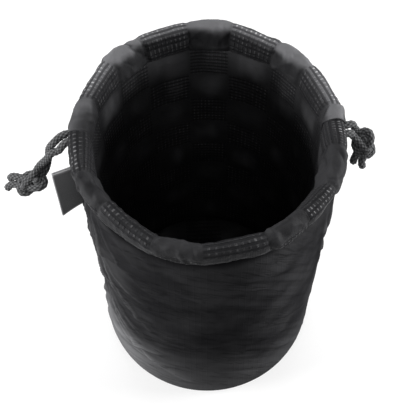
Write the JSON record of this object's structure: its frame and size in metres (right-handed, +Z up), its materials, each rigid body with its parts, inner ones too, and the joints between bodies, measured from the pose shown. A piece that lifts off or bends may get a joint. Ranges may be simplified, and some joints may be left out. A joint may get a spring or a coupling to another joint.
{
  "type": "lens pouch",
  "caption": "Round padded drawstring pouch for a camera lens, with a soft lining, a gathered collar and knotted cords that draw the mouth shut from both sides.",
  "frame": {"origin": "centre of the base, on the surface that the pouch stands on", "axes": "+Z up out of the mouth, -Y to the front, +X to the right seen from the front"},
  "size_m": [0.1343, 0.096, 0.15],
  "materials": {
    "shell_nylon": "thin black woven nylon with a slight sheen",
    "seam_tape": "matt woven tape",
    "padding_foam": "closed-cell foam",
    "lining_cloth": "satin checks with raised ribs",
    "braided_cord": "round braided polyester cord",
    "woven_label": "folded woven ribbon"
  },
  "bodies": {
    "pouch": {"outer_front_panel": "shell_nylon", "outer_back_panel": "shell_nylon", "outer_base": "shell_nylon", "left_seam_tape": "seam_tape", "right_seam_tape": "seam_tape", "front_foam_pad": "padding_foam", "back_foam_pad": "padding_foam", "base_foam_pad": "padding_foam", "front_lining_panel": "lining_cloth", "back_lining_panel": "lining_cloth", "lining_base": "lining_cloth"},
    "mouth_front": {"front_collar": "lining_cloth", "left_cord_front_run": "braided_cord", "right_cord_front_run": "braided_cord"},
    "mouth_back": {"back_collar": "lining_cloth", "left_cord_back_run": "braided_cord", "right_cord_back_run": "braided_cord"},
    "left_cord": {"left_front_strand": "braided_cord", "left_back_strand": "braided_cord"},
    "left_cord_end": {"left_knot": "braided_cord"},
    "right_cord": {"right_front_strand": "braided_cord", "right_back_strand": "braided_cord"},
    "right_cord_end": {"right_knot": "braided_cord"},
    "label": {"side_label": "woven_label"}
  },
  "joints": [
    {"name": "mouth_front_draw", "type": "slide", "parent": "pouch", "child": "mouth_front", "axis": [0, 1, 0], "range_m": [0, 0.026], "deforming": ["front_collar", "left_cord_front_run", "right_cord_front_run"]},
    {"name": "mouth_back_draw", "type": "slide", "parent": "pouch", "child": "mouth_back", "axis": [0, -1, 0], "range_m": [0, 0.026], "deforming": ["back_collar", "left_cord_back_run", "right_cord_back_run"]},
    {"name": "left_cord_swing", "type": "hinge", "parent": "pouch", "child": "left_cord", "pos_m": [-0.04794, 0.0024, 0.14525], "axis": [-0.4019, 0.9157, 0], "range_deg": [0, 100]},
    {"name": "left_cord_pull", "type": "slide", "parent": "left_cord", "child": "left_cord_end", "axis": [-0.6259, -0.2749, -0.7299], "range_m": [0, 0.0275], "deforming": ["left_front_strand", "left_back_strand"]},
    {"name": "right_cord_swing", "type": "hinge", "parent": "pouch", "child": "right_cord", "pos_m": [0.04794, 0.0024, 0.14225], "axis": [-0.189, -0.982, 0], "range_deg": [0, 100]},
    {"name": "right_cord_pull", "type": "slide", "parent": "right_cord", "child": "right_cord_end", "axis": [0.7035, -0.1359, -0.6975], "range_m": [0, 0.0275], "deforming": ["right_front_strand", "right_back_strand"]},
    {"name": "label_bend", "type": "hinge", "parent": "pouch", "child": "label", "pos_m": [-0.04677, -0.00557, 0.1259], "axis": [0, 0, 1], "range_deg": [-78, 42]}
  ],
  "couplings": [
    {"joint": "mouth_back_draw", "follows": "mouth_front_draw", "ratio": 1},
    {"joint": "left_cord_pull", "follows": "mouth_front_draw", "ratio": 1.054},
    {"joint": "right_cord_pull", "follows": "mouth_front_draw", "ratio": 1.054}
  ]
}
